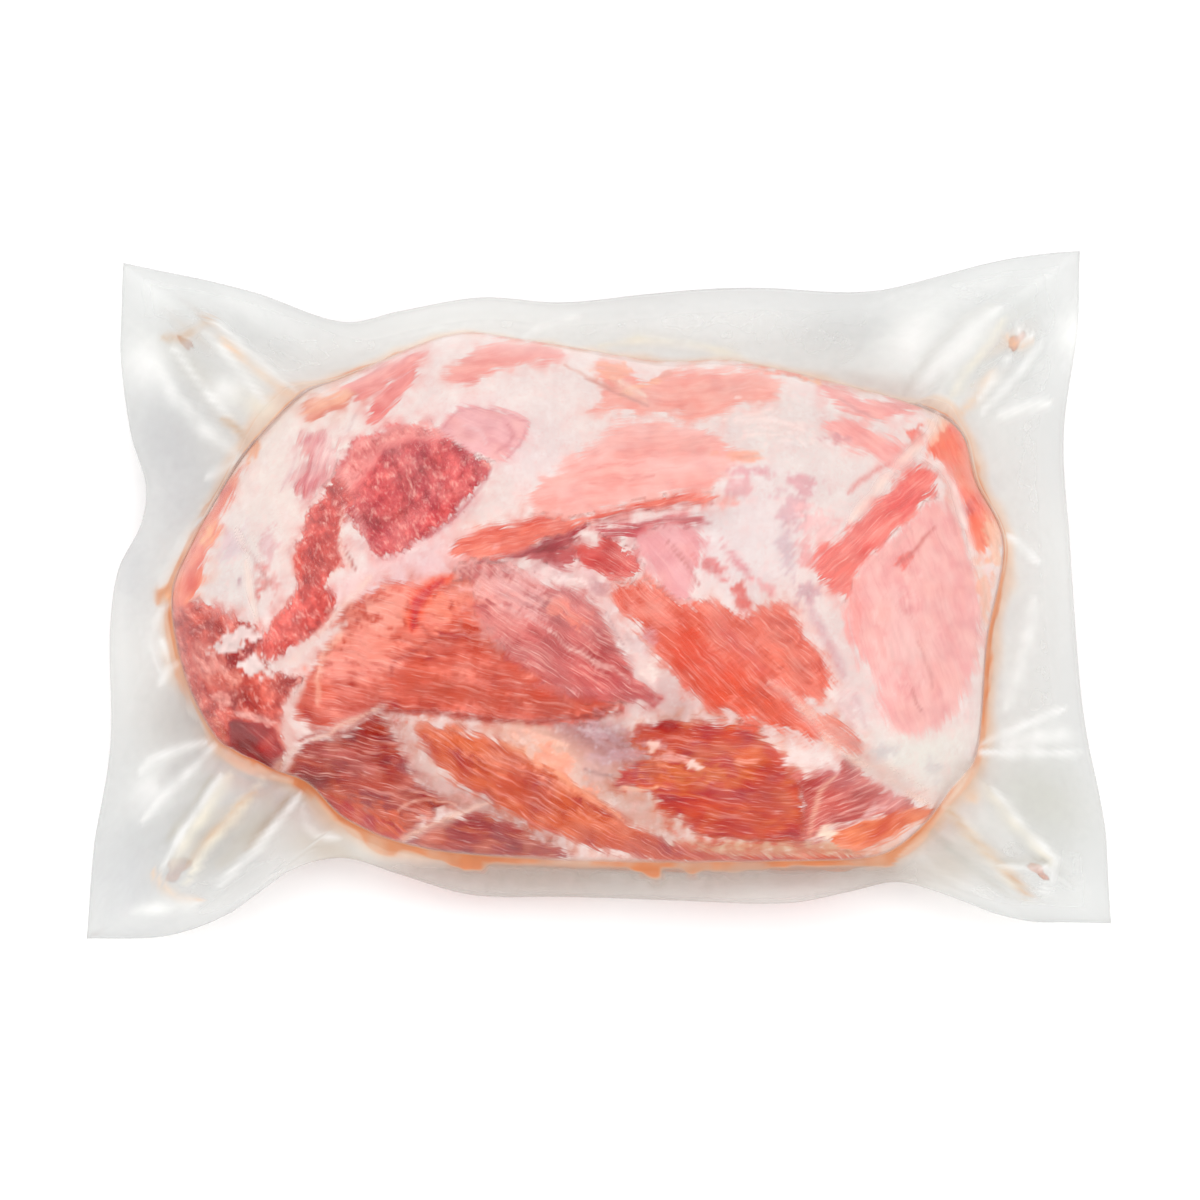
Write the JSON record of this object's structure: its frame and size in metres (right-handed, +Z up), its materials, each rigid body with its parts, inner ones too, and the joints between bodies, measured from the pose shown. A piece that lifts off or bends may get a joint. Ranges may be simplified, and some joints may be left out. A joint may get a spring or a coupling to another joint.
{
  "type": "pack of boneless pork leg",
  "caption": "Raw boneless pork leg sealed in a clear shrunk vacuum pouch, lying flat with its thin seam all round and a ridge of stretched film at each corner.",
  "frame": {"origin": "on the surface that the pack lies on, under the middle of its overall box", "axes": "+X along the pouch to the picture's right, +Y across it to the picture's far side, +Z up out of the flat underside"},
  "size_m": [0.4, 0.296, 0.0975],
  "materials": {
    "pork": "wet raw pork, muscles and fat seams seen through clear film",
    "film": "clear, slightly milky, glossy shrunk film with fine folds",
    "juice": "thin orange-pink meat juice held against the film"
  },
  "bodies": {
    "root": {"sealed_pack": "pork"}
  },
  "joints": []
}
